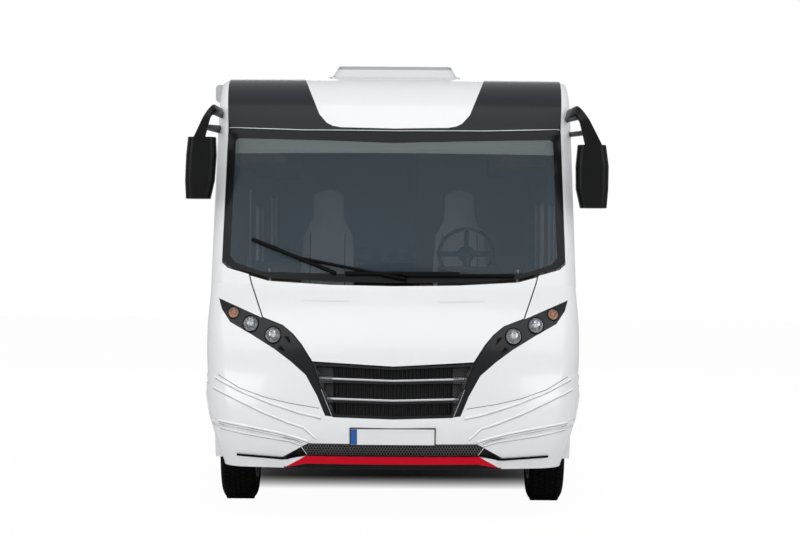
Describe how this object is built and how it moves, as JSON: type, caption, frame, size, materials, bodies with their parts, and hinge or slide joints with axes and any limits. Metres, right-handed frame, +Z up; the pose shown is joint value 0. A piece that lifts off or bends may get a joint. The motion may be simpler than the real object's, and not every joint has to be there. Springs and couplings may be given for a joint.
{
  "type": "motorhome",
  "caption": "Integrated motorhome with a wide panoramic windscreen, white panel body, steered front wheels, opening doors, bonnet and garage hatches, and a furnished interior.",
  "frame": {"origin": "on the ground, under the middle of the overall length and width", "axes": "+Z up, the nose towards -Y, the left side of the vehicle towards +X"},
  "size_m": [2.746, 6.9907, 2.945],
  "materials": {
    "alloy": "painted wheel",
    "awning_metal": "anodised cassette",
    "black_plastic": "satin black plastic",
    "blind_fabric": "pleated blind in its cassette",
    "dark_panel": "dark anthracite gloss",
    "glass": "tinted glass",
    "interior_plastic": "moulded dashboard",
    "iron": "cast block",
    "lamp_glass": "clear lens",
    "lamp_red": "red lens",
    "plate_white": "blank plate",
    "red_trim": "gloss red",
    "seat_fabric": "seat cover",
    "steel": "coated steel",
    "tank_plastic": "moulded tank",
    "tyre": "rubber",
    "white_gloss": "gloss white gel coat",
    "wood": "laminate board"
  },
  "bodies": {
    "body": {"awning": "awning_metal", "axles": "steel", "bench_cushions": "seat_fabric", "bulkhead": "steel", "bumper": "white_gloss", "cab_seats": "seat_fabric", "chassis_frame": "steel", "cowl_panels": "dark_panel", "cowl_shield": "white_gloss", "dashboard": "interior_plastic", "engine": "iron", "floor": "wood", "front_lamps": "lamp_glass", "front_lip": "red_trim", "front_mask": "white_gloss", "furniture": "wood", "grille": "black_plastic", "lamp_pods": "dark_panel", "mattress": "seat_fabric", "mirrors": "black_plastic", "number_plates": "plate_white", "rear_bed": "wood", "rear_bumper": "white_gloss", "rear_lamps": "lamp_red", "rear_wall": "white_gloss", "roof": "white_gloss", "roof_light": "white_gloss", "roof_vents": "white_gloss", "screen_blind": "blind_fabric", "seat_bases": "interior_plastic", "side_wall_left": "white_gloss", "side_wall_right": "white_gloss", "side_windows": "glass", "skirts": "white_gloss", "tanks": "tank_plastic", "wheel_arch_trims": "white_gloss", "wheel_housings": "tank_plastic", "windscreen": "glass", "windscreen_surround": "dark_panel", "wipers": "black_plastic"},
    "bonnet": {"bonnet": "white_gloss"},
    "driver_door": {"driver_door": "white_gloss", "driver_door_window": "glass"},
    "entry_door": {"entry_door": "white_gloss", "entry_door_window": "glass"},
    "garage_door_left": {"garage_door_left": "white_gloss"},
    "garage_door_right": {"garage_door_right": "white_gloss"},
    "steering_wheel": {"steering_wheel": "interior_plastic"},
    "knuckle_left": {"knuckle_left": "steel"},
    "knuckle_right": {"knuckle_right": "steel"},
    "wheel_front_left": {"rim_front_left": "alloy", "tyre_front_left": "tyre"},
    "wheel_front_right": {"rim_front_right": "alloy", "tyre_front_right": "tyre"},
    "wheel_rear_left": {"rim_rear_left": "alloy", "tyre_rear_left": "tyre"},
    "wheel_rear_right": {"rim_rear_right": "alloy", "tyre_rear_right": "tyre"}
  },
  "joints": [
    {"name": "bonnet_hinge", "type": "hinge", "parent": "body", "child": "bonnet", "pos_m": [0, -2.945, 1.52], "axis": [-1, 0, 0], "range_deg": [0, 60]},
    {"name": "driver_door_hinge", "type": "hinge", "parent": "body", "child": "driver_door", "pos_m": [1.174, -1.938, 1.35], "axis": [0, 0, -1], "range_deg": [0, 70]},
    {"name": "entry_door_hinge", "type": "hinge", "parent": "body", "child": "entry_door", "pos_m": [-1.174, -0.748, 1.5], "axis": [0, 0, 1], "range_deg": [0, 95]},
    {"name": "garage_door_left_hinge", "type": "hinge", "parent": "body", "child": "garage_door_left", "pos_m": [1.174, 3.008, 1.09], "axis": [0, 0, 1], "range_deg": [0, 120]},
    {"name": "garage_door_right_hinge", "type": "hinge", "parent": "body", "child": "garage_door_right", "pos_m": [-1.174, 3.008, 1.09], "axis": [0, 0, -1], "range_deg": [0, 120]},
    {"name": "steer_left", "type": "hinge", "parent": "body", "child": "knuckle_left", "pos_m": [0.93, -2.495, 0.366], "axis": [0, 0, 1], "range_deg": [-33, 33]},
    {"name": "steer_right", "type": "hinge", "parent": "body", "child": "knuckle_right", "pos_m": [-0.93, -2.495, 0.366], "axis": [0, 0, 1], "range_deg": [-33, 33]},
    {"name": "steering_wheel_turn", "type": "hinge", "parent": "body", "child": "steering_wheel", "pos_m": [0.5, -2.045, 1.64], "axis": [0, 0.9063, 0.4226], "range_deg": [-500, 500]},
    {"name": "spin_front_left", "type": "hinge", "parent": "knuckle_left", "child": "wheel_front_left", "pos_m": [1.005, -2.495, 0.366], "axis": [1, 0, 0], "continuous": true},
    {"name": "spin_front_right", "type": "hinge", "parent": "knuckle_right", "child": "wheel_front_right", "pos_m": [-1.005, -2.495, 0.366], "axis": [1, 0, 0], "continuous": true},
    {"name": "spin_rear_left", "type": "hinge", "parent": "body", "child": "wheel_rear_left", "pos_m": [1.005, 1.305, 0.366], "axis": [1, 0, 0], "continuous": true},
    {"name": "spin_rear_right", "type": "hinge", "parent": "body", "child": "wheel_rear_right", "pos_m": [-1.005, 1.305, 0.366], "axis": [1, 0, 0], "continuous": true}
  ],
  "couplings": [
    {"joint": "steer_right", "follows": "steer_left", "ratio": 1},
    {"joint": "steering_wheel_turn", "follows": "steer_left", "ratio": 15}
  ]
}
